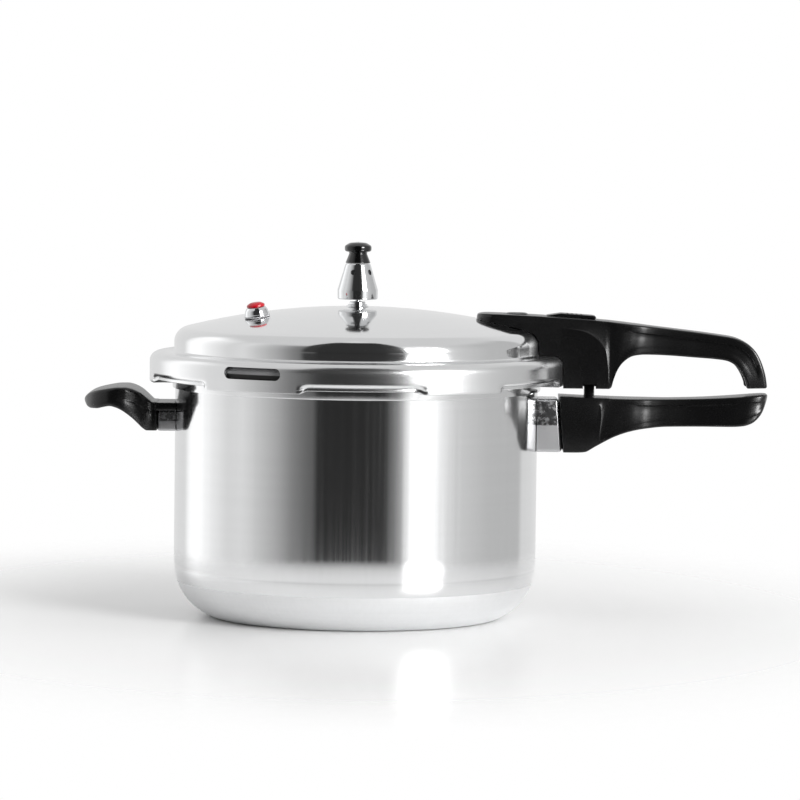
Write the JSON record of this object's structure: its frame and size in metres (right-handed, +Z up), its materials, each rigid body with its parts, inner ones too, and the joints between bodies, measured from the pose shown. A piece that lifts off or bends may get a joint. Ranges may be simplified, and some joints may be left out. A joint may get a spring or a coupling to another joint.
{
  "type": "pressure canner",
  "caption": "Stovetop pressure canner with a bayonet lid, long stacked handles, helper handle, weight regulator, safety valve and inner rack.",
  "frame": {"origin": "centre of the pot's flat base, on the surface it stands on", "axes": "+Z up, +X out along the long handles, -X towards the helper handle, +Y to complete a right-handed frame"},
  "size_m": [0.4499, 0.2732, 0.2472],
  "materials": {
    "polished_aluminium": "mirror polished",
    "satin_aluminium": "satin",
    "chrome": "mirror polished",
    "steel": "plain bright steel",
    "phenolic": "satin black moulded phenolic",
    "black_knob": "gloss black",
    "red_plug": "glossy red",
    "grey_seal": "matte grey"
  },
  "bodies": {
    "pot": {"canning_rack": "satin_aluminium", "helper_bracket": "chrome", "helper_bracket_rivet_1": "steel", "helper_bracket_rivet_2": "steel", "helper_handle_grip": "phenolic", "helper_handle_screw": "steel", "pot_bracket_rivet_1": "steel", "pot_bracket_rivet_2": "steel", "pot_handle_boss": "phenolic", "pot_handle_bracket": "chrome", "pot_handle_grip": "phenolic", "pot_handle_screw": "steel", "pot_shell": "polished_aluminium"},
    "gasket": {"sealing_gasket": "grey_seal"},
    "lid": {"indicator_guide": "steel", "lid_bracket_rivet_1": "steel", "lid_bracket_rivet_2": "steel", "lid_handle_bracket": "steel", "lid_handle_grip": "phenolic", "lid_handle_screw_1": "steel", "lid_handle_screw_2": "steel", "lid_shell": "polished_aluminium", "safety_valve_body": "chrome", "safety_valve_nut": "steel", "safety_valve_washer": "grey_seal", "vent_nut": "steel", "vent_pipe": "steel", "vent_washer": "steel"},
    "regulator": {"regulator_weight": "chrome", "regulator_needle": "steel", "regulator_knob": "black_knob"},
    "safety_plug": {"safety_valve_plug": "red_plug"},
    "indicator": {"indicator_pin": "steel", "indicator_button": "black_knob"},
    "lock": {"lock_slider": "phenolic"}
  },
  "joints": [
    {"name": "lid_lift", "type": "slide", "parent": "pot", "child": "gasket", "axis": [0, 0, 1], "range_m": [0, 0.15]},
    {"name": "lid_turn", "type": "hinge", "parent": "gasket", "child": "lid", "pos_m": [0, 0, 0.156], "axis": [0, 0, 1], "range_deg": [0, 30]},
    {"name": "regulator_lift", "type": "slide", "parent": "lid", "child": "regulator", "axis": [0, 0, 1], "range_m": [0, 0.035]},
    {"name": "safety_plug_pop", "type": "slide", "parent": "lid", "child": "safety_plug", "axis": [-0.1433, -0.0772, 0.9867], "range_m": [0, 0.004]},
    {"name": "indicator_rise", "type": "slide", "parent": "lid", "child": "indicator", "axis": [0, 0, 1], "range_m": [0, 0.003]},
    {"name": "lock_slide", "type": "slide", "parent": "lid", "child": "lock", "axis": [-0.998, 0, 0.0633], "range_m": [0, 0.006]}
  ]
}
